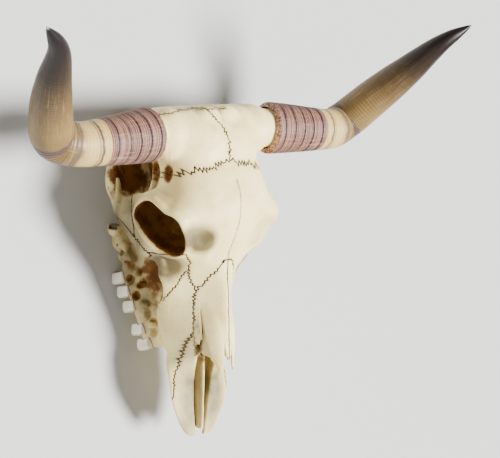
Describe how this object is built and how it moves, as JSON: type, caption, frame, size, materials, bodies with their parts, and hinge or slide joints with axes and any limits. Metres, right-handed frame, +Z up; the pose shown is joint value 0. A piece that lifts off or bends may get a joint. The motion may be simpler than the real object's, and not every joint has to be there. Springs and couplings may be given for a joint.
{
  "type": "cow skull",
  "caption": "Long-horned cow skull without its lower jaw, still and life-size, resting on its rear molars and jugular processes.",
  "frame": {"origin": "centre of the bounding box in X and Y, on the resting plane under the rear molars and jugular processes", "axes": "+X to the animal's left, along the line between the horn tips; +Y from the nose to the back of the head; +Z up, off the forehead"},
  "size_m": [0.8098, 0.596, 0.386],
  "materials": {
    "bone": "dry cream bone, stained brown in its hollows and along its sutures",
    "bone_base": "dry tan bone of the skull's back and underside, stained brown in its hollows",
    "horn": "satin tan horn with fine rings, dark bands and a near-black tip",
    "horn_collar": "rough pinkish-brown ringed horn base with purple-grey grooves"
  },
  "bodies": {
    "root": {"frontal": "bone", "poll_left": "bone", "poll_right": "bone", "nasal_left": "bone", "nasal_right": "bone", "lacrimal_left": "bone", "lacrimal_right": "bone", "zygomatic_left": "bone", "zygomatic_right": "bone", "temporal_left": "bone", "temporal_right": "bone", "maxilla_left": "bone", "maxilla_right": "bone", "premaxilla_left": "bone", "premaxilla_right": "bone", "vomer": "bone", "skull_base": "bone_base", "occipital": "bone_base", "horn_collar_left": "horn_collar", "horn_collar_right": "horn_collar", "horn_left": "horn", "horn_right": "horn"}
  },
  "joints": []
}
